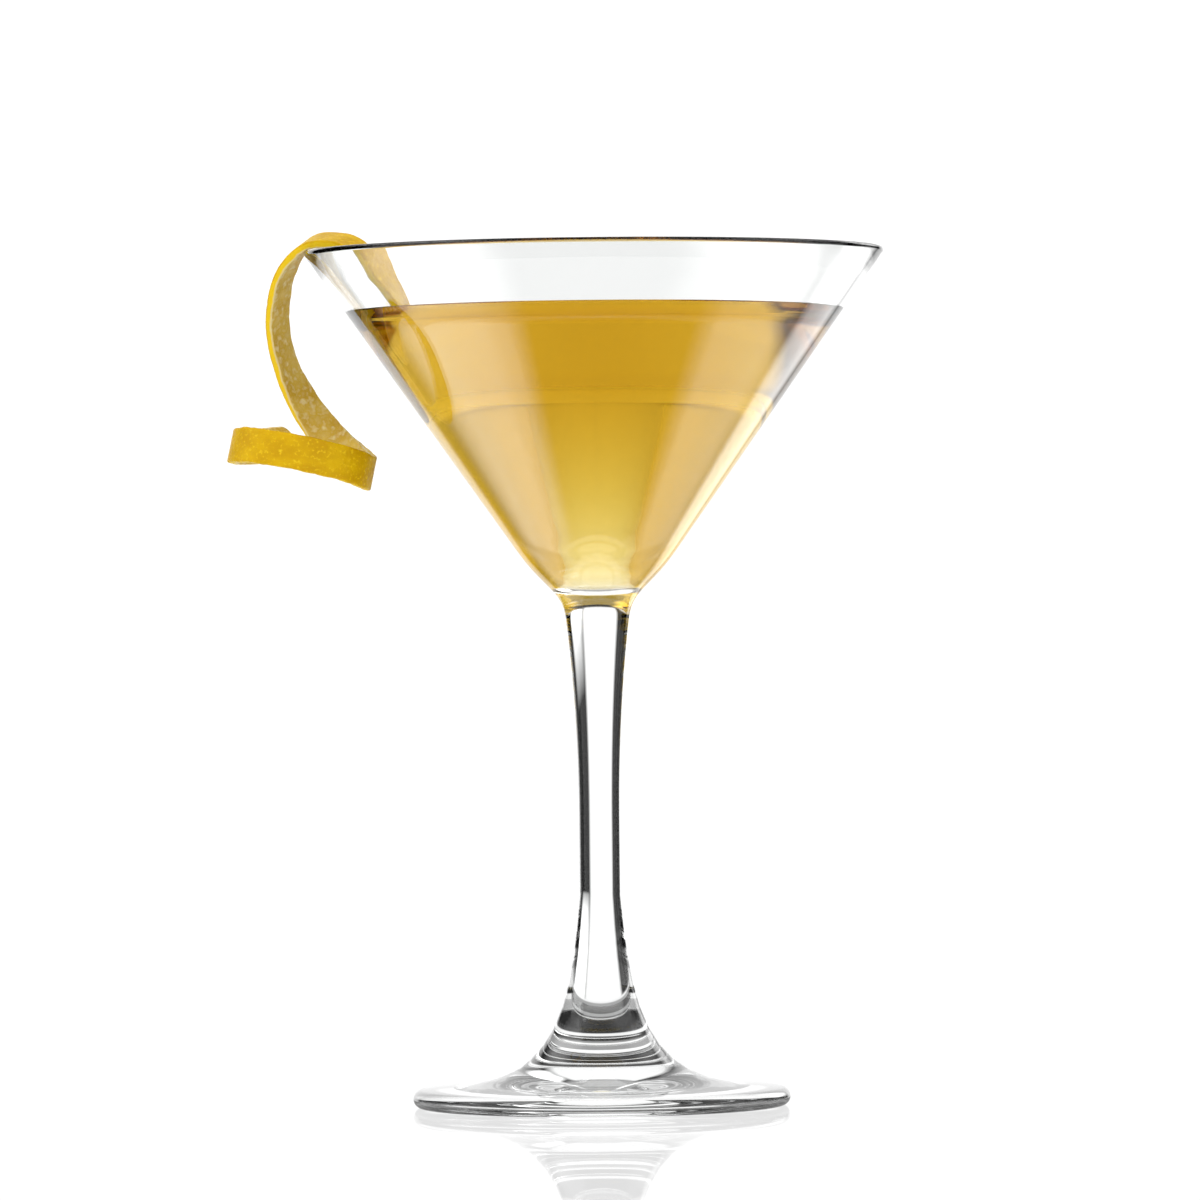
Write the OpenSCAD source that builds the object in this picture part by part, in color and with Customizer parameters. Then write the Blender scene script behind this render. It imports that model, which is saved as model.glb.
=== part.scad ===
// Cocktail in a stemmed cone glass, with a lemon twist hooked over the rim.
// Millimetres, +Z up. The origin is the centre of the foot, on the table.
// The twist hangs on the -X side of the rim.

/* [Glass] */
// Height from the table to the top of the rim
glass_height = 170; // [164:1:176]
// Radius of the rim, to the outside of its round lip
rim_radius = 57.4; // [55:0.1:60]
// Angle between the bowl's wall and the upright axis
bowl_angle = 35.2; // [34.5:0.05:36]
// Thickness of the bowl's wall
wall = 1.4; // [1.2:0.1:1.6]
// Height of the lowest point inside the bowl
bowl_floor = 103.7; // [103:0.1:105]
// Radius of the foot
foot_radius = 37.4; // [34:0.2:40]
// Radius of the stem at its waist
stem_radius = 4; // [3.6:0.1:4.6]

/* [Drink] */
// How far the drink's surface lies under the rim
drink_depth = 11.5; // [10:0.5:14]

/* [Lemon twist] */
// Width of the strip of peel
peel_width = 7.2; // [6.4:0.2:7.6]
// Thickness of the peel, rind and pith together
peel_thick = 1.7; // [1.4:0.1:1.9]
// Radius of the curl at the outer end, at the middle of the peel
curl_radius = 13.7; // [13:0.1:14]
// How far the curl leans over, down towards the glass
curl_lean = 12; // [8:1:14]

/* [Hidden] */
$fn = 96;

// ---- curves ----

// Points of a cubic curve that leaves a towards b and reaches d from c
function bezier(a, b, c, d, steps) = [
    for (i = [0:steps])
        let (t = i / steps, s = 1 - t)
        s*s*s*a + 3*s*s*t*b + 3*s*t*t*c + t*t*t*d
];

// Points of an arc about a centre, from one angle to another
function arc(centre, r, from, to, steps) = [
    for (i = [0:steps])
        let (a = from + (to - from) * i / steps)
        centre + r * [cos(a), sin(a)]
];

// One point of a smooth curve through b and c, with a and d as its neighbours
function through(a, b, c, d, t) =
    (2*b + (c - a)*t + (2*a - 5*b + 4*c - d)*t*t + (3*b - a - 3*c + d)*t*t*t) / 2;

function unit(v) = v / norm(v);

// ---- glass ----

bowl_slope = tan(bowl_angle);
wall_across = wall / cos(bowl_angle);

// The lip rounds the wall off
lip_radius = wall / 2;
lip_centre = [rim_radius - lip_radius, glass_height - lip_radius];
lip = arc(lip_centre, lip_radius, -bowl_angle, 180 - bowl_angle, 10);

// Radius of the cone's outside and inside at a height
function cone_out(z) = lip_centre[0] + wall_across / 2 - (lip_centre[1] - z) * bowl_slope;
function cone_in(z) = cone_out(z) - wall_across;

// The foot: a flat ring to stand on round a shallow hollow, and a round edge
foot_ring_in = 29;
foot_edge = 1.8;
foot_hollow = [for (i = [0:8]) let (r = foot_ring_in * i / 8)
    [r, 1.2 * pow(cos(90 * i / 8), 2)]];
foot_side = arc([foot_radius - foot_edge, foot_edge], foot_edge, -90, 84, 8);
foot_top = [foot_radius - 11.4, 4.5];

// The stem: a long sweep up from the foot, a waist, and a slow swell below the bowl
waist_low = 42;
waist_high = 58;
neck = [6.35, 97.2];
stem_foot = bezier(foot_top, [9.1, 6.7], [stem_radius + 1.9, 19.6],
                   [stem_radius, waist_low], 18);
stem_swell = bezier([stem_radius, waist_high], [stem_radius, waist_high + 14],
                    [4.9, 85.5], neck, 9);

// The flare from the stem's neck into the straight cone of the bowl
flare_top = 110;
flare_out = cone_out(flare_top);
flare_lead = 7.2;
flare = bezier(neck, neck + [0.75, 5.2],
               [flare_out - flare_lead * bowl_slope, flare_top - flare_lead],
               [flare_out, flare_top], 12);

// The inside of the bowl, from the axis to a height on the cone
basin_top = 114;
basin = bezier([0, bowl_floor], [7.5, bowl_floor],
               [cone_in(basin_top - 6), basin_top - 6], [cone_in(basin_top), basin_top], 10);

module glass() {
    color([0.86, 0.90, 0.90, 0.45])
    rotate_extrude()
    polygon(concat(
        foot_hollow,
        foot_side,
        stem_foot,
        stem_swell,
        [for (i = [1:12]) flare[i]],
        lip,
        [for (i = [10:-1:0]) basin[i]]
    ));
}

// ---- lemon twist ----

// Stations of the strip: a place on its middle line, and the way its rind faces.
// Places are measured from the rim at its -X side.
hook = [-rim_radius, 0, glass_height];

// The curl at the outer end: a leaning ring whose loose end lifts a little
curl_centre = [-0.8, -2, -41.3];
curl_right = [cos(curl_lean), 0, -sin(curl_lean)];
curl_back = [0, cos(5), -sin(5)];
function curl_station(a) =
    let (out = curl_right * cos(a) + curl_back * sin(a))
    [curl_centre + curl_radius * out + [0, 0, 4.5 * pow(max(0, (190 - a) / 90), 2)], out];
curl = [for (a = [100, 140, 180, 225, 270, 315, 355]) curl_station(a)];

// The stretch that climbs behind the curl, crosses the rim and dips into the drink
climb = [
    [[10.2, 7.5, -42], [0.75, 0.75, -0.2]],
    [[5, 11.5, -37.5], [0, 1, -0.2]],
    [[0, 12.5, -31], [-0.6, 0.8, 0]],
    [[-4.2, 11.5, -22.5], [-0.85, 0.5, 0.1]],
    [[-5.8, 9, -13.5], [-0.85, 0.5, 0.1]],
    [[-4.2, 5.2, -4.5], [-0.85, 0.35, 0.4]],
    [[0.4, 2.5, 1.5], [-0.5, -0.1, 0.85]],
    [[6, 0, 2.2], [0.1, -0.35, 0.95]],
    [[10.4, -1, 0.4], [0.5, -0.5, 0.75]],
    [[15.4, -1.5, -4.8], [0.7, -0.5, 0.5]],
    [[19, -1.5, -10.7], [0.88, -0.32, 0.4]],
    [[20.9, -1.5, -17], [0.95, -0.15, 0.3]],
    [[24, -1.5, -24.5], [0.95, -0.12, 0.3]],
    [[27.2, -1.5, -32], [0.95, -0.12, 0.2]]
];

stations = concat(curl, climb);
last = len(stations) - 1;
steps = 4;

// Number k counts the rings of the sweep, with "steps" rings from station to station
function blend(k, part) =
    let (i = min(floor(k / steps), last - 1), t = k / steps - i)
    through(stations[max(i - 1, 0)][part], stations[i][part],
            stations[i + 1][part], stations[min(i + 2, last)][part], t);
function place(k) = hook + blend(k, 0);
function along(k) = unit(blend(min(k + 0.5, last * steps), 0) - blend(max(k - 0.5, 0), 0));
function across(k) = unit(cross(along(k), blend(k, 1)));

// The strip narrows to a round end at both tips
function narrowing(k) =
    let (from_tip = min(k, last * steps - k))
    sqrt(1 - pow(max(0, 1 - (from_tip + 0.6) / 3), 2));

// Outline of the strip's section, with its corners cut
function section(w, t) =
    let (x = w / 2, y = t / 2, c = t / 4)
    [[-x, c - y], [-x, y - c], [c - x, y], [x - c, y],
     [x, y - c], [x, c - y], [x - c, -y], [c - x, -y]];

// The strip from one ring to another, made thicker all round by grow
module peel_strip(from, to, grow = 0) {
    rings = [
        for (k = [from:to])
            let (u = across(k), n = cross(u, along(k)))
            [for (p = section(peel_width * narrowing(k) + 2 * grow, peel_thick + 2 * grow))
                place(k) + p[0] * u + p[1] * n]
    ];
    sides = 8;
    count = to - from;
    polyhedron(
        points = [for (ring = rings, p = ring) p],
        faces = concat(
            [[for (j = [0:sides - 1]) j]],
            [for (i = [0:count - 1], j = [0:sides - 1])
                let (a = i * sides + j, b = i * sides + (j + 1) % sides)
                each [[a, a + sides, b], [b, a + sides, b + sides]]],
            [[for (j = [sides - 1:-1:0]) count * sides + j]]
        ),
        convexity = 6
    );
}

module lemon_twist() {
    color([0.84, 0.68, 0.09])
    peel_strip(0, last * steps);
}

// ---- drink ----

drink_level = glass_height - drink_depth;
// First ring of the strip that is cut out of the drink, just above the surface
dip_ring = 62;

module drink() {
    color([0.80, 0.60, 0.15, 0.7])
    difference() {
        rotate_extrude()
        polygon(concat(
            basin,
            [[cone_in(drink_level), drink_level], [0, drink_level]]
        ));
        peel_strip(dip_ring, last * steps, 0.1);
    }
}

glass();
drink();
lemon_twist();
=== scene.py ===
"""Cocktail in a stemmed cone glass with a lemon twist, laid out as a Blender add-on."""
import math

import bpy
from bpy.props import FloatProperty, FloatVectorProperty, IntProperty, PointerProperty
from mathutils import Matrix, Vector, noise


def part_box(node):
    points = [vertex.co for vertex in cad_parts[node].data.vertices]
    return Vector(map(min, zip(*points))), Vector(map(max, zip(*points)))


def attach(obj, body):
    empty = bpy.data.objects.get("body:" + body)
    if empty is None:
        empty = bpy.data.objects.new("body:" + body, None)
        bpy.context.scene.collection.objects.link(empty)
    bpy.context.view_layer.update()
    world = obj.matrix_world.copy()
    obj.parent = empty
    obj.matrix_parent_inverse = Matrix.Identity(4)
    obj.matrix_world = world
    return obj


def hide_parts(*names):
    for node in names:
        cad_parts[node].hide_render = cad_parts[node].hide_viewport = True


bl_info = {
    "name": "Cocktail with a lemon twist",
    "version": (1, 0, 0),
    "blender": (4, 5, 0),
    "location": "View3D > Sidebar > Cocktail",
    "description": "Makes a cone glass, its drink, a curled lemon peel and a pale studio",
    "category": "Add Mesh",
}

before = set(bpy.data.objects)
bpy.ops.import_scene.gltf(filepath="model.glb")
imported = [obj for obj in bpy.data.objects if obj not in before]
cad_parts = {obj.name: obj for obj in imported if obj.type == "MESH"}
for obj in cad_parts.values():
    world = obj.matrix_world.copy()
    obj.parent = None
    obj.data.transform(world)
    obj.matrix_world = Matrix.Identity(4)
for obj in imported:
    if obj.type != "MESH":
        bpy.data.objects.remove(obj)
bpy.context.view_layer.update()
_, GLASS_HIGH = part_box("glass")
DRINK_LOW, DRINK_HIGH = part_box("drink")

MM = 0.001
BODY = "root"
RIM_RADIUS = GLASS_HIGH[0]
GLASS_HEIGHT = GLASS_HIGH[2]
DRINK_LEVEL = DRINK_HIGH[2]
BOWL_FLOOR = DRINK_LOW[2]

# Where the bowl's inside leaves its straight cone, and how far its round bottom reaches out
BASIN_TOP = 114 * MM
BASIN_TURN = BASIN_TOP - 6 * MM
BASIN_REACH = 7.5 * MM
# The foot: its round edge and its hollow underside
FOOT_EDGE = 1.8 * MM
FOOT_EDGE_END = math.radians(84)
FOOT_HOLLOW = 1.2 * MM
FOOT_RING_IN = 29 * MM
# Steps of a mesh along each stretch of an outline
OUTLINE_DETAIL = 10

GLASS_IOR = 1.5
DRINK_IOR = 1.345


# ---- sizes and colours that a user would change ----

class CocktailGlassSettings(bpy.types.PropertyGroup):
    """Sizes and finish of the glass."""

    wall: FloatProperty(
        name="Wall", description="Thickness of the bowl's wall",
        default=1.4 * MM, min=1.2 * MM, max=1.6 * MM, unit="LENGTH")
    bowl_angle: FloatProperty(
        name="Bowl angle", description="Angle between the bowl's wall and the upright axis",
        default=math.radians(35.2), subtype="ANGLE")
    foot_radius: FloatProperty(
        name="Foot radius", description="Radius of the round foot",
        default=37.4 * MM, unit="LENGTH")
    stem_radius: FloatProperty(
        name="Stem radius", description="Radius of the stem at its waist",
        default=4.0 * MM, unit="LENGTH")
    segments: IntProperty(
        name="Segments", description="Steps round the axis", default=192, min=32, max=256)
    tint: FloatVectorProperty(
        name="Tint", description="Colour of clear glass", subtype="COLOR",
        default=(0.985, 0.992, 0.988), min=0.0, max=1.0)


class CocktailDrinkSettings(bpy.types.PropertyGroup):
    """Colour and edge of the drink."""

    colour: FloatVectorProperty(
        name="Colour", description="What a long way through the drink lets pass",
        subtype="COLOR", default=(0.86, 0.715, 0.0), min=0.0, max=1.0)
    strength: FloatProperty(
        name="Strength", description="How quickly the drink takes up its colour, per metre",
        default=48.5, min=0.0)
    meniscus: FloatProperty(
        name="Meniscus", description="How far the edge of the surface climbs the wall",
        default=0.8 * MM, unit="LENGTH")
    into_wall: FloatProperty(
        name="Into the wall", description="How far the drink reaches into the glass",
        default=0.2 * MM, unit="LENGTH")


class CocktailPeelSettings(bpy.types.PropertyGroup):
    """Sizes and colours of the lemon peel."""

    width: FloatProperty(
        name="Width", description="Width of the strip", default=7.2 * MM, unit="LENGTH")
    thickness: FloatProperty(
        name="Thickness", description="Thickness of rind and pith together",
        default=1.7 * MM, unit="LENGTH")
    rind: FloatVectorProperty(
        name="Rind", description="Colour of the rind", subtype="COLOR",
        default=(0.77, 0.475, 0.0), min=0.0, max=1.0)
    rind_deep: FloatVectorProperty(
        name="Deep rind", description="Colour of the rind's darker patches and pores",
        subtype="COLOR", default=(0.64, 0.36, 0.0), min=0.0, max=1.0)
    rind_pale: FloatVectorProperty(
        name="Cut rind", description="Colour of the rind where it is cut", subtype="COLOR",
        default=(0.88, 0.60, 0.012), min=0.0, max=1.0)
    pith: FloatVectorProperty(
        name="Pith", description="Colour of the inner side", subtype="COLOR",
        default=(0.76, 0.53, 0.09), min=0.0, max=1.0)
    pith_deep: FloatVectorProperty(
        name="Deep pith", description="Colour of the inner side where the rind shows through",
        subtype="COLOR", default=(0.64, 0.39, 0.03), min=0.0, max=1.0)
    pith_pale: FloatVectorProperty(
        name="Pale pith", description="Colour of the thick pale pith", subtype="COLOR",
        default=(0.84, 0.68, 0.32), min=0.0, max=1.0)


class CocktailStageSettings(bpy.types.PropertyGroup):
    """Floor, light and camera."""

    floor_mirror: FloatProperty(
        name="Floor mirror", description="Share of the floor's light that is a mirror image",
        default=0.3, min=0.0, max=1.0)
    daylight: FloatProperty(
        name="Surround", description="Brightness of the pale studio round the glass",
        default=1.12, min=0.0)
    camera_distance: FloatProperty(
        name="Camera distance", description="From the stem to the camera",
        default=1.65, unit="LENGTH")
    camera_height: FloatProperty(
        name="Camera height", description="Above the floor", default=0.1004, unit="LENGTH")


# ---- small helpers ----

def deselect():
    """Clear the selection, since an operator acts on all that is selected."""
    bpy.ops.object.select_all(action="DESELECT")


def select_only(piece):
    """Make one object selected and active."""
    deselect()
    piece.select_set(True)
    bpy.context.view_layer.objects.active = piece


def edit_all(piece):
    """Enter edit mode with the whole mesh selected."""
    select_only(piece)
    bpy.ops.object.mode_set(mode="EDIT")
    bpy.ops.mesh.select_all(action="SELECT")


def put_on_body(piece, node):
    """Hang a finished piece on its body, and hide the CAD node that it stands for."""
    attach(piece, BODY)
    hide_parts(node)


def fill(tree, socket, value):
    """Link a node's output to a socket, or set the socket to a plain value."""
    if isinstance(value, bpy.types.NodeSocket):
        tree.links.new(value, socket)
    else:
        socket.default_value = value


def math_node(tree, kind, values, clamp=False):
    """A Math node in a tree, its inputs set or linked."""
    node = tree.nodes.new("ShaderNodeMath")
    node.operation = kind
    node.use_clamp = clamp
    for socket, value in zip(node.inputs, values):
        fill(tree, socket, value)
    return node.outputs[0]


def along_circle(centre, radius, angle):
    """A point of a circle in the half-section, r and z, with its direction of travel."""
    c, s = math.cos(angle), math.sin(angle)
    return Vector((centre[0] + radius * c, centre[1] + radius * s)), Vector((-s, c))


class Outline:
    """Half-section of a turned piece, drawn as Bezier knots in r and z."""

    def __init__(self, start):
        self.knots = [[Vector(start), Vector(start), Vector(start)]]

    def curve(self, leave, arrive, end):
        """A cubic curve to end, with its two handles."""
        self.knots[-1][2] = Vector(leave)
        self.knots.append([Vector(end), Vector(arrive), Vector(end)])

    def line(self, end):
        """A straight line to end."""
        here = self.knots[-1][0]
        end = Vector(end)
        self.curve(here.lerp(end, 1 / 3), here.lerp(end, 2 / 3), end)

    def arc(self, centre, radius, start, stop, pieces=2):
        """An arc between two angles, from the last knot on."""
        step = (stop - start) / pieces
        handle = 4 / 3 * math.tan(step / 4) * radius
        for i in range(pieces):
            here, way = along_circle(centre, radius, start + i * step)
            there, onward = along_circle(centre, radius, start + (i + 1) * step)
            self.curve(here + way * handle, there - onward * handle, there)

    def spin(self, name, segments, detail):
        """Turn the outline round the upright axis into a closed smooth mesh."""
        deselect()
        bpy.ops.curve.primitive_bezier_curve_add(location=(0, 0, 0))
        drawn = bpy.context.object
        spline = drawn.data.splines[0]
        spline.bezier_points.add(len(self.knots) - len(spline.bezier_points))
        for point, (knot, arrive, leave) in zip(spline.bezier_points, self.knots):
            point.handle_left_type = "FREE"
            point.handle_right_type = "FREE"
            point.co = (knot.x, 0, knot.y)
            point.handle_left = (arrive.x, 0, arrive.y)
            point.handle_right = (leave.x, 0, leave.y)
        drawn.data.resolution_u = detail
        bpy.ops.object.convert(target="MESH")
        piece = bpy.context.object
        piece.name = name
        edit_all(piece)
        bpy.ops.mesh.spin(
            steps=segments, angle=math.tau, center=(0, 0, 0), axis=(0, 0, 1))
        bpy.ops.mesh.select_all(action="SELECT")
        bpy.ops.mesh.remove_doubles(threshold=0.5e-6)
        bpy.ops.mesh.normals_make_consistent(inside=False)
        bpy.ops.object.mode_set(mode="OBJECT")
        bpy.ops.object.shade_smooth()
        return piece


# ---- the bowl's shape, shared by glass and drink ----

def bowl_slope(glass):
    """Growth of the bowl's radius per unit of height."""
    return math.tan(glass.bowl_angle)


def cone_out(glass, z):
    """Radius of the bowl's outside at a height."""
    lip = glass.wall / 2
    middle = RIM_RADIUS - lip - (GLASS_HEIGHT - lip - z) * bowl_slope(glass)
    return middle + lip / math.cos(glass.bowl_angle)


def cone_in(glass, z):
    """Radius of the bowl's inside at a height."""
    return cone_out(glass, z) - glass.wall / math.cos(glass.bowl_angle)


def glass_outline(glass):
    """Half-section of the glass, from under the foot, up the outside and down the inside."""
    ring_out = glass.foot_radius - FOOT_EDGE
    outline = Outline((0, FOOT_HOLLOW))
    outline.curve((11 * MM, FOOT_HOLLOW), (19 * MM, 0), (FOOT_RING_IN, 0))
    outline.line((ring_out, 0))
    outline.arc((ring_out, FOOT_EDGE), FOOT_EDGE, -math.pi / 2, FOOT_EDGE_END)
    outline.line((glass.foot_radius - 11.4 * MM, 4.5 * MM))
    outline.curve((9.1 * MM, 6.7 * MM), (glass.stem_radius + 1.9 * MM, 19.6 * MM),
                  (glass.stem_radius, 42 * MM))
    outline.line((glass.stem_radius, 58 * MM))
    outline.curve((glass.stem_radius, 72 * MM), (4.9 * MM, 85.5 * MM), (6.35 * MM, 97.2 * MM))
    flare_top = 110 * MM
    flare_out = cone_out(glass, flare_top)
    lead = 7.2 * MM
    outline.curve((7.1 * MM, 102.4 * MM), (flare_out - lead * bowl_slope(glass), flare_top - lead),
                  (flare_out, flare_top))
    lip_radius = glass.wall / 2
    lip_centre = (RIM_RADIUS - lip_radius, GLASS_HEIGHT - lip_radius)
    lip_from = -glass.bowl_angle
    lip_first, _ = along_circle(lip_centre, lip_radius, lip_from)
    outline.line(lip_first)
    outline.arc(lip_centre, lip_radius, lip_from, lip_from + math.pi)
    outline.line((cone_in(glass, BASIN_TOP), BASIN_TOP))
    outline.curve((cone_in(glass, BASIN_TURN), BASIN_TURN), (BASIN_REACH, BOWL_FLOOR),
                  (0, BOWL_FLOOR))
    return outline


def drink_outline(glass, drink):
    """Half-section of the drink, a little larger than the bowl's inside."""
    more = drink.into_wall
    across = more / math.cos(glass.bowl_angle)
    edge = DRINK_LEVEL
    flat = edge - drink.meniscus
    wet = 4.2 * MM
    outline = Outline((0, BOWL_FLOOR - more))
    outline.curve((BASIN_REACH + more, BOWL_FLOOR - more),
                  (cone_in(glass, BASIN_TURN) + across, BASIN_TURN),
                  (cone_in(glass, BASIN_TOP) + across, BASIN_TOP))
    outline.line((cone_in(glass, edge) + across, edge))
    outline.line((cone_in(glass, edge), edge))
    inner = cone_in(glass, flat) - wet
    outline.curve((cone_in(glass, edge) - 0.5 * MM, edge - 0.6 * MM),
                  (inner + 2.0 * MM, flat), (inner, flat))
    outline.line((0, flat))
    return outline


# ---- lemon peel: stations of its route, as in the solid it stands for ----

HOOK = Vector((-57.4, 0, 170)) * MM
CURL_CENTRE = Vector((-0.8, -2, -41.3)) * MM
CURL_RADIUS = 13.7 * MM
CURL_LEAN = math.radians(12)
CLIMB = [
    ((10.2, 7.5, -42), (0.75, 0.75, -0.2)),
    ((5, 11.5, -37.5), (0, 1, -0.2)),
    ((0, 12.5, -31), (-0.6, 0.8, 0)),
    ((-4.2, 11.5, -22.5), (-0.85, 0.5, 0.1)),
    ((-5.8, 9, -13.5), (-0.85, 0.5, 0.1)),
    ((-4.2, 5.2, -4.5), (-0.85, 0.35, 0.4)),
    ((0.4, 2.5, 1.5), (-0.5, -0.1, 0.85)),
    ((6, 0, 2.2), (0.1, -0.35, 0.95)),
    ((10.4, -1, 0.4), (0.5, -0.5, 0.75)),
    ((15.4, -1.5, -4.8), (0.7, -0.5, 0.5)),
    ((19, -1.5, -10.7), (0.88, -0.32, 0.4)),
    ((20.9, -1.5, -17), (0.95, -0.15, 0.3)),
    ((24, -1.5, -24.5), (0.95, -0.12, 0.3)),
    ((27.2, -1.5, -32), (0.95, -0.12, 0.2)),
]


def curl_station(angle):
    """A place on the leaning ring at the outer end, and the way the rind faces there."""
    lift = math.radians(5)
    right = Vector((math.cos(CURL_LEAN), 0, -math.sin(CURL_LEAN)))
    back = Vector((0, math.cos(lift), -math.sin(lift)))
    out = right * math.cos(angle) + back * math.sin(angle)
    rise = 4.5 * MM * max(0.0, (math.radians(190) - angle) / math.radians(90)) ** 2
    return CURL_CENTRE + out * CURL_RADIUS + Vector((0, 0, rise)), out


def peel_stations():
    """Every station of the strip, from the curl's loose end to the tip in the drink."""
    curl = [curl_station(math.radians(a)) for a in (100, 140, 180, 225, 270, 315, 355)]
    return curl + [(Vector(place) * MM, Vector(way)) for place, way in CLIMB]


def smooth_through(a, b, c, d, t):
    """One point of a smooth curve between b and c."""
    cubic = (b * 3 - a - c * 3 + d) * t ** 3
    return (b * 2 + (c - a) * t + (a * 2 - b * 5 + c * 4 - d) * t ** 2 + cubic) / 2


class Route:
    """The strip's middle line, walked by its length."""

    def __init__(self, stations, steps=40):
        last = len(stations) - 1
        self.places = []
        self.ways = []
        for i in range(last):
            near = [stations[max(i - 1, 0)], stations[i], stations[i + 1],
                    stations[min(i + 2, last)]]
            for k in range(steps + (i == last - 1)):
                t = k / steps
                self.places.append(HOOK + smooth_through(*(s[0] for s in near), t))
                self.ways.append(smooth_through(*(s[1] for s in near), t).normalized())
        self.lengths = [0.0]
        for here, there in zip(self.places, self.places[1:]):
            self.lengths.append(self.lengths[-1] + (there - here).length)
        self.length = self.lengths[-1]

    def at(self, length):
        """Place, direction, rind direction and side direction at a length along the strip."""
        length = min(max(length, 0.0), self.length)
        low, high = 0, len(self.lengths) - 1
        while high - low > 1:
            middle = (low + high) // 2
            if self.lengths[middle] <= length:
                low = middle
            else:
                high = middle
        share = (length - self.lengths[low]) / (self.lengths[high] - self.lengths[low])
        place = self.places[low].lerp(self.places[high], share)
        before = self.places[max(low - 3, 0)]
        after = self.places[min(high + 3, len(self.places) - 1)]
        along = (after - before).normalized()
        side = along.cross(self.ways[low].lerp(self.ways[high], share)).normalized()
        return place, side, side.cross(along)


def flat_strip(name, length, width, thickness):
    """A flat bevelled strip, its rind face up, from x = 0 to its length."""
    deselect()
    bpy.ops.mesh.primitive_grid_add(
        x_subdivisions=320, y_subdivisions=8, size=1, location=(0, 0, 0))
    strip = bpy.context.object
    strip.name = name
    edit_all(strip)
    bpy.ops.transform.translate(value=(0.5, 0, 0.5))
    bpy.ops.transform.resize(
        value=(length, width, thickness), center_override=(0, 0, 0))
    bpy.ops.mesh.extrude_region_move(
        TRANSFORM_OT_translate={"value": (0, 0, -thickness)})
    bpy.ops.mesh.select_all(action="SELECT")
    bpy.ops.mesh.normals_make_consistent(inside=False)
    bpy.ops.object.mode_set(mode="OBJECT")
    bevel = strip.modifiers.new("cut_edge", "BEVEL")
    bevel.width = thickness / 4
    bevel.segments = 3
    bevel.limit_method = "ANGLE"
    bpy.ops.object.modifier_apply(modifier=bevel.name)
    finer = strip.modifiers.new("finer", "SUBSURF")
    finer.subdivision_type = "SIMPLE"
    finer.levels = 1
    finer.render_levels = 1
    bpy.ops.object.modifier_apply(modifier=finer.name)
    return strip


def wind_strip(strip, route, peel):
    """Wind a flat strip along the route, with ragged edges, pores and a lumpy inner side."""
    mesh = strip.data
    depth = mesh.attributes.new("depth", "FLOAT", "POINT")
    flat = mesh.attributes.new("flat", "FLOAT_VECTOR", "POINT")
    half = peel.width / 2
    thick = peel.thickness
    reach = peel.width * 0.42
    for i, vertex in enumerate(mesh.vertices):
        x, y, z = vertex.co
        depth.data[i].value = 0.5 - z / thick
        flat.data[i].vector = (x, y, z)
        from_tip = min(x, route.length - x)
        narrow = math.sqrt(max(0.0, 1 - max(0.0, 1 - (from_tip + 0.2 * MM) / reach) ** 2))
        side_sign = 1 if y > 0 else -1
        ragged = noise.noise(Vector((x * 320, side_sign * 7.0, 0)))
        ragged += 0.5 * noise.noise(Vector((x * 900, side_sign * 3.0, 5)))
        nearness = (abs(y) / half) ** 4
        y = y * narrow + side_sign * nearness * (ragged * 0.16 - 0.12) * MM
        if z > 0:
            pores = noise.noise(Vector((x, y, 0)) * 1500)
            z += min(0.0, pores) * 0.10 * MM - 0.02 * MM
        else:
            lumps = noise.noise(Vector((x, y, 9 * MM)) * 500)
            z += (lumps - 0.5) * -0.14 * MM
        place, side, out = route.at(x)
        vertex.co = place + side * y + out * z
    select_only(strip)
    bpy.ops.object.shade_smooth()


# ---- materials ----

def new_material(name):
    """A material with only a Principled shader and its output; gives it and the shader."""
    material = bpy.data.materials.new(name)
    material.use_nodes = True
    return material, material.node_tree.nodes["Principled BSDF"]


def clear_glass_material(tint):
    """Polished colourless glass."""
    material, shader = new_material("clear_glass")
    shader.inputs["Base Color"].default_value = (*tint, 1)
    shader.inputs["Roughness"].default_value = 0.0
    shader.inputs["IOR"].default_value = GLASS_IOR
    shader.inputs["Transmission Weight"].default_value = 1.0
    return material


def drink_material(colour, strength):
    """Clear amber liquid whose colour deepens with the way through it."""
    material, shader = new_material("amber_drink")
    tree = material.node_tree
    shader.inputs["Base Color"].default_value = (1, 1, 1, 1)
    shader.inputs["Roughness"].default_value = 0.0
    shader.inputs["IOR"].default_value = DRINK_IOR
    shader.inputs["Transmission Weight"].default_value = 1.0
    absorb = tree.nodes.new("ShaderNodeVolumeAbsorption")
    absorb.inputs["Color"].default_value = (*colour, 1)
    absorb.inputs["Density"].default_value = strength
    tree.links.new(absorb.outputs["Volume"], tree.nodes["Material Output"].inputs["Volume"])
    return material


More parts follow.
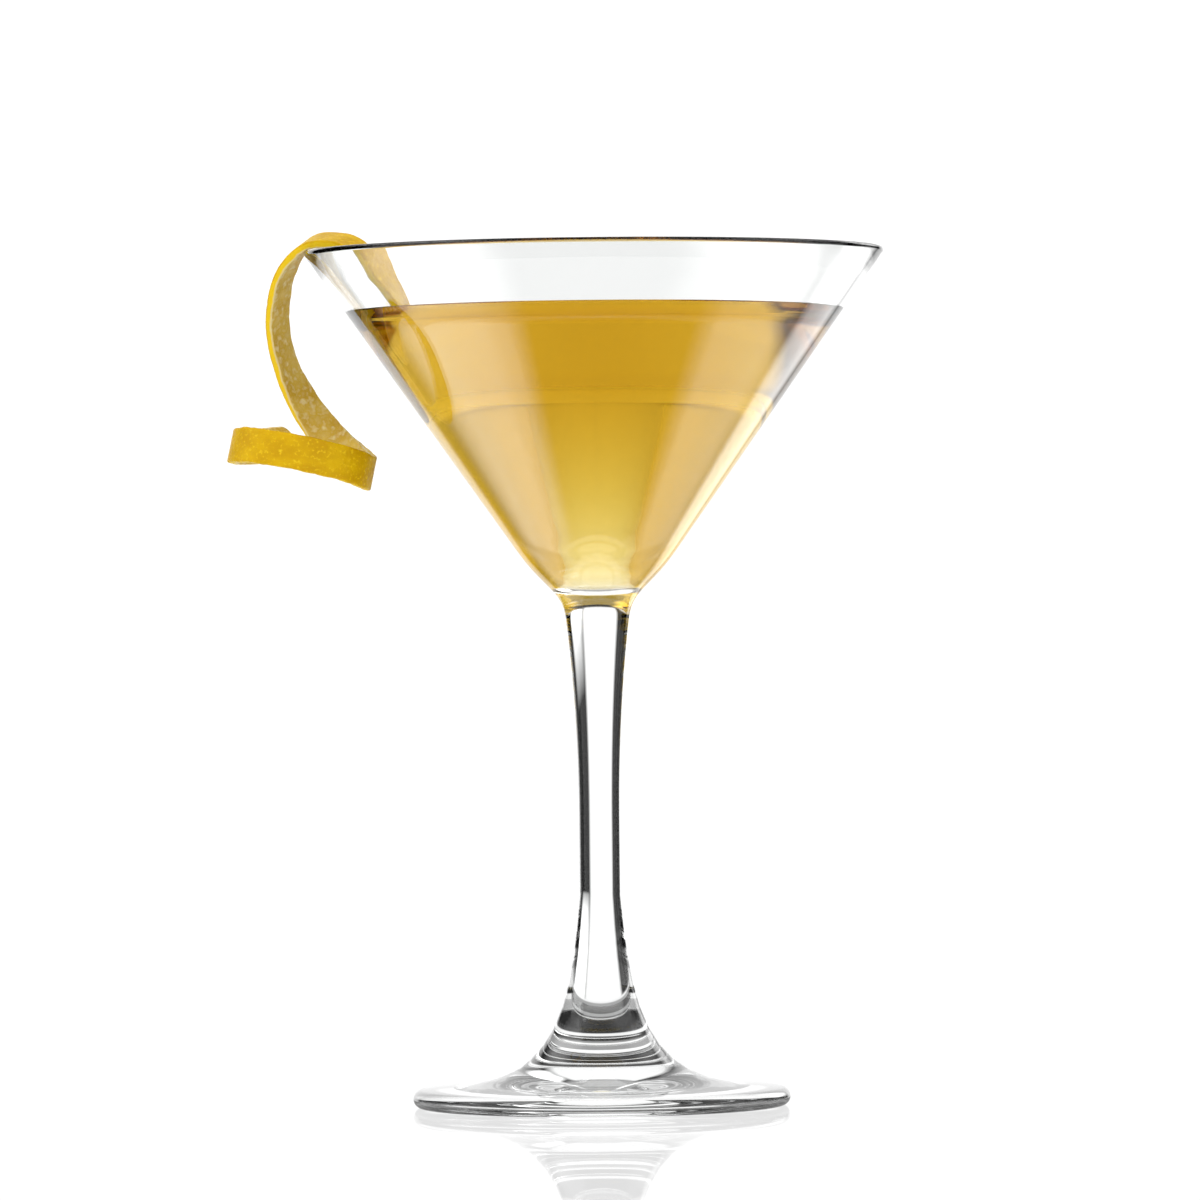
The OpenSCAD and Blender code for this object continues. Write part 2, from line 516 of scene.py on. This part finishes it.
def peel_material(peel):
    """Pored waxy rind on one side and soft mottled pith on the other."""
    material, shader = new_material("lemon_peel")
    tree = material.node_tree
    nodes, links = tree.nodes, tree.links

    def attribute(name, socket):
        node = nodes.new("ShaderNodeAttribute")
        node.attribute_name = name
        return node.outputs[socket]

    def ramp(source, low, high, most=1.0):
        node = nodes.new("ShaderNodeMapRange")
        node.inputs["To Max"].default_value = most
        node.inputs["From Min"].default_value = low
        node.inputs["From Max"].default_value = high
        links.new(source, node.inputs["Value"])
        return node.outputs["Result"]

    def clouds(scale, detail, stretch=(1, 1, 1)):
        placing = nodes.new("ShaderNodeMapping")
        placing.inputs["Scale"].default_value = stretch
        links.new(flat, placing.inputs["Vector"])
        node = nodes.new("ShaderNodeTexNoise")
        node.inputs["Scale"].default_value = scale
        node.inputs["Detail"].default_value = detail
        links.new(placing.outputs["Vector"], node.inputs["Vector"])
        return node.outputs["Fac"]

    def mixed(mask, first, second):
        node = nodes.new("ShaderNodeMix")
        node.data_type = "RGBA"
        links.new(mask, node.inputs[0])
        for socket, value in ((node.inputs[6], first), (node.inputs[7], second)):
            plain = not isinstance(value, bpy.types.NodeSocket)
            fill(tree, socket, (*value, 1) if plain else value)
        return node.outputs[2]

    def maths(kind, *values):
        return math_node(tree, kind, values)

    flat = attribute("flat", "Vector")
    depth = maths("ADD", attribute("depth", "Fac"),
                  maths("MULTIPLY", maths("SUBTRACT", clouds(700, 2), 0.5), 0.3))
    rind = mixed(ramp(clouds(180, 3, (1, 1.6, 1)), 0.38, 0.66), peel.rind_deep, peel.rind)
    rind = mixed(ramp(clouds(1300, 2), 0.56, 0.72), rind, peel.rind_pale)
    pores = nodes.new("ShaderNodeTexVoronoi")
    pores.inputs["Scale"].default_value = 1250
    links.new(flat, pores.inputs["Vector"])
    rind = mixed(ramp(pores.outputs["Distance"], 0.22, 0.02), rind, peel.rind_deep)
    pith = mixed(ramp(clouds(210, 4), 0.36, 0.66), peel.pith_deep, peel.pith)
    pith = mixed(ramp(clouds(700, 3), 0.5, 0.75, 0.45), pith, peel.pith_pale)
    cut = mixed(ramp(depth, 0.12, 0.3), rind, peel.rind_pale)
    cut = mixed(ramp(depth, 0.72, 0.86), cut, peel.pith_pale)
    colour = mixed(ramp(depth, 0.94, 1.0), cut, pith)
    links.new(colour, shader.inputs["Base Color"])
    shader.inputs["Roughness"].default_value = 0.42
    shader.inputs["Specular IOR Level"].default_value = 0.13
    shader.inputs["Subsurface Weight"].default_value = 0.2
    shader.inputs["Subsurface Radius"].default_value = (1.0, 0.7, 0.1)
    shader.inputs["Subsurface Scale"].default_value = 0.8 * MM
    bump = nodes.new("ShaderNodeBump")
    bump.inputs["Strength"].default_value = 0.5
    bump.inputs["Distance"].default_value = 0.12 * MM
    links.new(maths("ADD", pores.outputs["Distance"], clouds(500, 4)), bump.inputs["Height"])
    links.new(bump.outputs["Normal"], shader.inputs["Normal"])
    return material


# ---- operators ----

class MESH_OT_cocktail_glass(bpy.types.Operator):
    """Turn the cone glass: foot, stem, bowl and round lip in one piece"""

    bl_idname = "mesh.cocktail_glass"
    bl_label = "Cone glass"

    def execute(self, context):
        glass = context.scene.cocktail_glass
        piece = glass_outline(glass).spin("cone_glass", glass.segments, OUTLINE_DETAIL)
        piece.data.materials.append(clear_glass_material(glass.tint))
        put_on_body(piece, "glass")
        return {"FINISHED"}


class MESH_OT_cocktail_drink(bpy.types.Operator):
    """Fill the bowl with the drink, just into the wall, with a climbing edge"""

    bl_idname = "mesh.cocktail_drink"
    bl_label = "Drink"

    def execute(self, context):
        glass = context.scene.cocktail_glass
        drink = context.scene.cocktail_drink
        piece = drink_outline(glass, drink).spin("drink_fill", glass.segments, OUTLINE_DETAIL)
        piece.data.materials.append(drink_material(drink.colour, drink.strength))
        put_on_body(piece, "drink")
        return {"FINISHED"}


class MESH_OT_cocktail_peel(bpy.types.Operator):
    """Cut a flat strip of lemon peel, thicken it and wind it along its route"""

    bl_idname = "mesh.cocktail_peel"
    bl_label = "Lemon twist"

    def execute(self, context):
        peel = context.scene.cocktail_peel
        route = Route(peel_stations())
        piece = flat_strip("peel_strip", route.length, peel.width, peel.thickness)
        wind_strip(piece, route, peel)
        piece.data.materials.append(peel_material(peel))
        put_on_body(piece, "lemon_twist")
        return {"FINISHED"}


class SCENE_OT_cocktail_stage(bpy.types.Operator):
    """Lay the pale floor and set the studio light and the camera"""

    bl_idname = "scene.cocktail_stage"
    bl_label = "Studio"

    def execute(self, context):
        stage = context.scene.cocktail_stage
        deselect()
        bpy.ops.mesh.primitive_circle_add(vertices=96, radius=6, fill_type="NGON")
        floor = context.object
        floor.name = "studio_floor"
        floor.data.materials.append(floor_material(stage.floor_mirror))
        studio_world(context.scene, stage.daylight)
        studio_camera(context.scene, stage)
        context.scene.view_settings.view_transform = "Standard"
        context.scene.cycles.max_bounces = 32
        context.scene.cycles.transmission_bounces = 32
        context.scene.cycles.glossy_bounces = 32
        context.scene.cycles.transparent_max_bounces = 16
        return {"FINISHED"}


# Ray depths over which a ray counts as spread by a matt piece, as let in by the glass, as
# bounced off its surfaces, as gone on a long way, and as come through the drink
SPREAD = 0.5
LET_IN = 0.5
BOUNCED = 0.5
GONE_ON = 2.5
THROUGH_DRINK = 4.5

# Painted shade on the floor under the back and the front of the foot: how dark it is, by radius in
# millimetres
SHADE_BEHIND = ((16, 1.0), (17.3, 0.0), (19.6, 0.0), (20.6, 1.0), (23, 1.0), (24.5, 0.6),
                (28, 0.6), (29.5, 1.0), (46, 1.0), (49, 0.0))
SHADE_BEFORE = ((31.5, 0.0), (33, 1.0), (38, 1.0), (39.5, 0.0))
# The radius at which those rings end, and where the floor turns into a mirror outside them
RINGS_REACH = 50
MIRROR_FROM = 48 * MM
MIRROR_TO = 52 * MM
# Front and back of the step between the two sets of rings
BEHIND_FROM = -6 * MM
BEHIND_TO = 3 * MM
# Share of the shade for rays that haven't gone on, the floor's own light, and the darkest shade
FIRST_SHADE = 0.6
FLOOR_LIGHT = 1.05
DEEPEST_SHADE = 0.03


def floor_material(mirror_share):
    """Smooth white acrylic, plain white to the camera; glass sees rings of painted shade under the
    foot.
    """
    material = bpy.data.materials.new("white_acrylic")
    material.use_nodes = True
    tree = material.node_tree
    nodes, links = tree.nodes, tree.links
    nodes.clear()
    mirror = nodes.new("ShaderNodeBsdfGlossy")
    mirror.inputs["Color"].default_value = (0.95, 0.95, 0.95, 1)
    mirror.inputs["Roughness"].default_value = 0.0

    def half_mirror(share, surface):
        node = nodes.new("ShaderNodeMixShader")
        fill(tree, node.inputs["Fac"], share)
        links.new(surface.outputs["Emission"], node.inputs[1])
        links.new(mirror.outputs["BSDF"], node.inputs[2])
        return node.outputs["Shader"]

    def maths(kind, *values):
        return math_node(tree, kind, values)

    def stepped(value, low, high, before, after):
        node = nodes.new("ShaderNodeMapRange")
        node.interpolation_type = "SMOOTHSTEP"
        node.inputs["From Min"].default_value = low
        node.inputs["From Max"].default_value = high
        node.inputs["To Min"].default_value = before
        node.inputs["To Max"].default_value = after
        links.new(value, node.inputs["Value"])
        return node.outputs["Result"]

    place = nodes.new("ShaderNodeTexCoord")
    away = nodes.new("ShaderNodeVectorMath")
    away.operation = "LENGTH"
    links.new(place.outputs["Object"], away.inputs[0])
    parts = nodes.new("ShaderNodeSeparateXYZ")
    links.new(place.outputs["Object"], parts.inputs[0])
    distance = away.outputs["Value"]
    behind = stepped(parts.outputs["Y"], BEHIND_FROM, BEHIND_TO, 0.0, 1.0)

    def rings(shades):
        node = nodes.new("ShaderNodeValToRGB")
        for i, (radius, dark) in enumerate(shades):
            stops = node.color_ramp.elements
            stop = stops[i] if i < 2 else stops.new(1)
            stop.position = radius / RINGS_REACH
            stop.color = (dark, dark, dark, 1)
        links.new(maths("DIVIDE", distance, RINGS_REACH * MM), node.inputs["Fac"])
        return node.outputs["Color"]

    # painted shade: dark rings on the floor under the foot, for rays that are neither camera rays
    # nor bounced off a matt piece
    shade = maths("ADD", maths("MULTIPLY", behind, rings(SHADE_BEHIND)),
                  maths("MULTIPLY", maths("SUBTRACT", 1.0, behind), rings(SHADE_BEFORE)))
    ray = nodes.new("ShaderNodeLightPath")
    gone_on = maths("GREATER_THAN", ray.outputs["Ray Depth"], GONE_ON)
    shade = maths("MULTIPLY", shade, stepped(gone_on, 0.0, 1.0, FIRST_SHADE, 1.0))
    mirror_part = stepped(distance, MIRROR_FROM, MIRROR_TO, 0.0, 1.0)
    lit = nodes.new("ShaderNodeEmission")
    lit.inputs["Strength"].default_value = FLOOR_LIGHT
    # the floor's own glow, dimmed where the painted shade lies
    shaded = nodes.new("ShaderNodeEmission")
    links.new(stepped(shade, 0.0, 1.0, 1.0, DEEPEST_SHADE), shaded.inputs["Strength"])
    lit_by_it = maths("GREATER_THAN", ray.outputs["Diffuse Depth"], SPREAD)
    plain = maths("MAXIMUM", ray.outputs["Is Camera Ray"], lit_by_it)
    both = nodes.new("ShaderNodeMixShader")
    links.new(plain, both.inputs["Fac"])
    links.new(half_mirror(mirror_part, shaded), both.inputs[1])
    links.new(half_mirror(mirror_share, lit), both.inputs[2])
    output = nodes.new("ShaderNodeOutputMaterial")
    links.new(both.outputs["Shader"], output.inputs["Surface"])
    material.cycles.emission_sampling = "NONE"
    return material


# Soft windows that glass sees: azimuths from straight behind the glass, to the right, and
# elevations, both from and to, in degrees, with the brightness and how soft the edge is
WINDOWS = (
    (-28, 20, -100, 40, 1.12, 5),
    (-100, 100, 40, 95, 0.5, 8),
    (-118, -42, 32, 62, 2.2, 16),
    (42, 96, 28, 60, 1.4, 16),
    (22, 46, 8, 32, 2.8, 8),
    (62, 86, -100, 10, 0.45, 4),
)
# The rest of the surround. Light that has bounced about inside the glass finds it dimmer, and
# dark above this elevation
AROUND = (80, 280, -100, 46, 1.0, 8)
AROUND_INSIDE = 0.45
AROUND_INSIDE_TOP = 44

# Brightness of the surround seen through the drink, by elevation in degrees
DRINK_SKY = ((16, 1.32), (36, 1.4), (43, 1.12), (50, 0.82), (62, 1.25), (80, 1.4))
# The windows in it, and what is left of it outside them
DRINK_DARK = 0.06
DRINK_WINDOWS = (
    (-33, 48, -100, 40, 1.0, 9),
    (84, 276, -100, 40, 0.8, 9),
    (-94, -40, 28, 52, 1.6, 14),
    (40, 94, 28, 52, 1.5, 14),
    (-181, 181, 22, 95, 1.0, 6),
)


def window_group():
    """Node group: brightness of one soft window in the direction of a ray."""
    group = bpy.data.node_groups.new("soft_window", "ShaderNodeTree")
    for name in ("Azimuth", "Elevation", "Left", "Right", "Low", "High", "Brightness", "Soft"):
        group.interface.new_socket(name, in_out="INPUT", socket_type="NodeSocketFloat")
    group.interface.new_socket("Light", in_out="OUTPUT", socket_type="NodeSocketFloat")
    given = group.nodes.new("NodeGroupInput").outputs
    out = group.nodes.new("NodeGroupOutput")

    def maths(kind, *values, clamp=False):
        return math_node(group, kind, values, clamp)

    def share(value, low, high):
        middle = maths("MULTIPLY", maths("ADD", low, high), 0.5)
        half = maths("MULTIPLY", maths("SUBTRACT", high, low), 0.5)
        off = maths("ABSOLUTE", maths("WRAP", maths("SUBTRACT", value, middle), 180, -180))
        inside = maths("DIVIDE", maths("SUBTRACT", half, off), given["Soft"])
        return maths("ADD", inside, 0.5, clamp=True)

    across = share(given["Azimuth"], given["Left"], given["Right"])
    upright = share(given["Elevation"], given["Low"], given["High"])
    light = maths("MULTIPLY", maths("MULTIPLY", across, upright), given["Brightness"])
    group.links.new(light, out.inputs["Light"])
    return group


def studio_world(scene, brightness):
    """A white surround; glass sees soft windows in the dark, which draw its edges."""
    world = bpy.data.worlds.new("studio")
    scene.world = world
    world.use_nodes = True
    tree = world.node_tree
    nodes, links = tree.nodes, tree.links
    nodes.clear()

    def maths(kind, *values, clamp=False):
        return math_node(tree, kind, values, clamp)

    way = nodes.new("ShaderNodeTexCoord")
    parts = nodes.new("ShaderNodeSeparateXYZ")
    links.new(way.outputs["Generated"], parts.inputs[0])
    azimuth = maths("DEGREES", maths("ARCTAN2", parts.outputs["X"], parts.outputs["Y"]))
    elevation = maths("DEGREES", maths("ARCSINE", parts.outputs["Z"]))
    group = window_group()

    def window_light(window):
        node = nodes.new("ShaderNodeGroup")
        node.node_tree = group
        links.new(azimuth, node.inputs["Azimuth"])
        links.new(elevation, node.inputs["Elevation"])
        for name, value in zip(("Left", "Right", "Low", "High", "Brightness", "Soft"), window):
            node.inputs[name].default_value = value
        return node.outputs["Light"]

    ray = nodes.new("ShaderNodeLightPath")
    inside = maths("GREATER_THAN", ray.outputs["Transmission Depth"], LET_IN)
    bounces = maths("SUBTRACT", ray.outputs["Ray Depth"], ray.outputs["Transmission Depth"])
    wandered = maths("MULTIPLY", inside, maths("GREATER_THAN", bounces, BOUNCED))
    dimming = maths("SUBTRACT", 1.0, maths("MULTIPLY", wandered, 1.0 - AROUND_INSIDE))
    high = maths("GREATER_THAN", elevation, AROUND_INSIDE_TOP)
    low_only = maths("SUBTRACT", 1.0, maths("MULTIPLY", wandered, high))
    dimmed = maths("MULTIPLY", dimming, low_only)
    seen_by_glass = maths("MULTIPLY", window_light(AROUND), dimmed)
    for window in WINDOWS:
        seen_by_glass = maths("MAXIMUM", seen_by_glass, window_light(window))
    seen_by_drink = DRINK_SKY[0][1]
    for (here, _), (there, bright) in zip(DRINK_SKY, DRINK_SKY[1:]):
        step = nodes.new("ShaderNodeMapRange")
        step.inputs["From Min"].default_value = here
        step.inputs["From Max"].default_value = there
        step.inputs["To Max"].default_value = bright
        links.new(elevation, step.inputs["Value"])
        fill(tree, step.inputs["To Min"], seen_by_drink)
        seen_by_drink = step.outputs["Result"]
    lit_part = DRINK_DARK
    for window in DRINK_WINDOWS:
        lit_part = maths("MAXIMUM", lit_part, window_light(window))
    seen_by_drink = maths("MULTIPLY", seen_by_drink, lit_part)
    through_drink = maths("GREATER_THAN", ray.outputs["Transmission Depth"], THROUGH_DRINK)
    by_depth = nodes.new("ShaderNodeMix")
    links.new(through_drink, by_depth.inputs[0])
    links.new(seen_by_glass, by_depth.inputs[2])
    links.new(seen_by_drink, by_depth.inputs[3])
    lit_by_it = maths("GREATER_THAN", ray.outputs["Diffuse Depth"], SPREAD)
    plain = maths("MAXIMUM", ray.outputs["Is Camera Ray"], lit_by_it)
    light = nodes.new("ShaderNodeMix")
    links.new(plain, light.inputs[0])
    links.new(by_depth.outputs[0], light.inputs[2])
    light.inputs[3].default_value = brightness
    background = nodes.new("ShaderNodeBackground")
    background.inputs["Color"].default_value = (1, 1, 1, 1)
    links.new(light.outputs[0], background.inputs["Strength"])
    output = nodes.new("ShaderNodeOutputWorld")
    links.new(background.outputs["Background"], output.inputs["Surface"])
    world.cycles.sampling_method = "NONE"


CAMERA_ASIDE = 0.55 * MM
CAMERA_ROLL = math.radians(-0.55)
CAMERA_LENS = 249.5
CAMERA_SENSOR = 36


def studio_camera(scene, stage):
    """A long lens at the height of the bowl's floor, with a hair of roll."""
    bpy.ops.object.camera_add(
        location=(CAMERA_ASIDE, -stage.camera_distance, stage.camera_height))
    camera = bpy.context.object
    camera.name = "studio_camera"
    camera.rotation_euler = Matrix.Rotation(math.radians(90), 3, "X").to_euler()
    camera.rotation_euler.rotate_axis("Z", CAMERA_ROLL)
    camera.data.sensor_width = CAMERA_SENSOR
    camera.data.lens = CAMERA_LENS
    camera.data.clip_end = 50
    scene.camera = camera


class VIEW3D_PT_cocktail(bpy.types.Panel):
    """Sidebar panel that lists the pieces"""

    bl_label = "Cocktail"
    bl_idname = "VIEW3D_PT_cocktail"
    bl_space_type = "VIEW_3D"
    bl_region_type = "UI"
    bl_category = "Cocktail"

    def draw(self, context):
        for operator in OPERATORS:
            self.layout.operator(operator.bl_idname)


SETTINGS = {
    "cocktail_glass": CocktailGlassSettings,
    "cocktail_drink": CocktailDrinkSettings,
    "cocktail_peel": CocktailPeelSettings,
    "cocktail_stage": CocktailStageSettings,
}
OPERATORS = (
    SCENE_OT_cocktail_stage,
    MESH_OT_cocktail_glass,
    MESH_OT_cocktail_drink,
    MESH_OT_cocktail_peel,
)


def register():
    for group in SETTINGS.values():
        bpy.utils.register_class(group)
    for operator in OPERATORS:
        bpy.utils.register_class(operator)
    bpy.utils.register_class(VIEW3D_PT_cocktail)
    for name, group in SETTINGS.items():
        setattr(bpy.types.Scene, name, PointerProperty(type=group))


def unregister():
    for name in SETTINGS:
        delattr(bpy.types.Scene, name)
    bpy.utils.unregister_class(VIEW3D_PT_cocktail)
    for operator in reversed(OPERATORS):
        bpy.utils.unregister_class(operator)
    for group in reversed(SETTINGS.values()):
        bpy.utils.unregister_class(group)


def main():
    """Make the stage and every piece."""
    register()
    bpy.ops.scene.cocktail_stage()
    bpy.ops.mesh.cocktail_glass()
    bpy.ops.mesh.cocktail_drink()
    bpy.ops.mesh.cocktail_peel()
    bpy.context.view_layer.update()


if __name__ == "__main__":
    main()
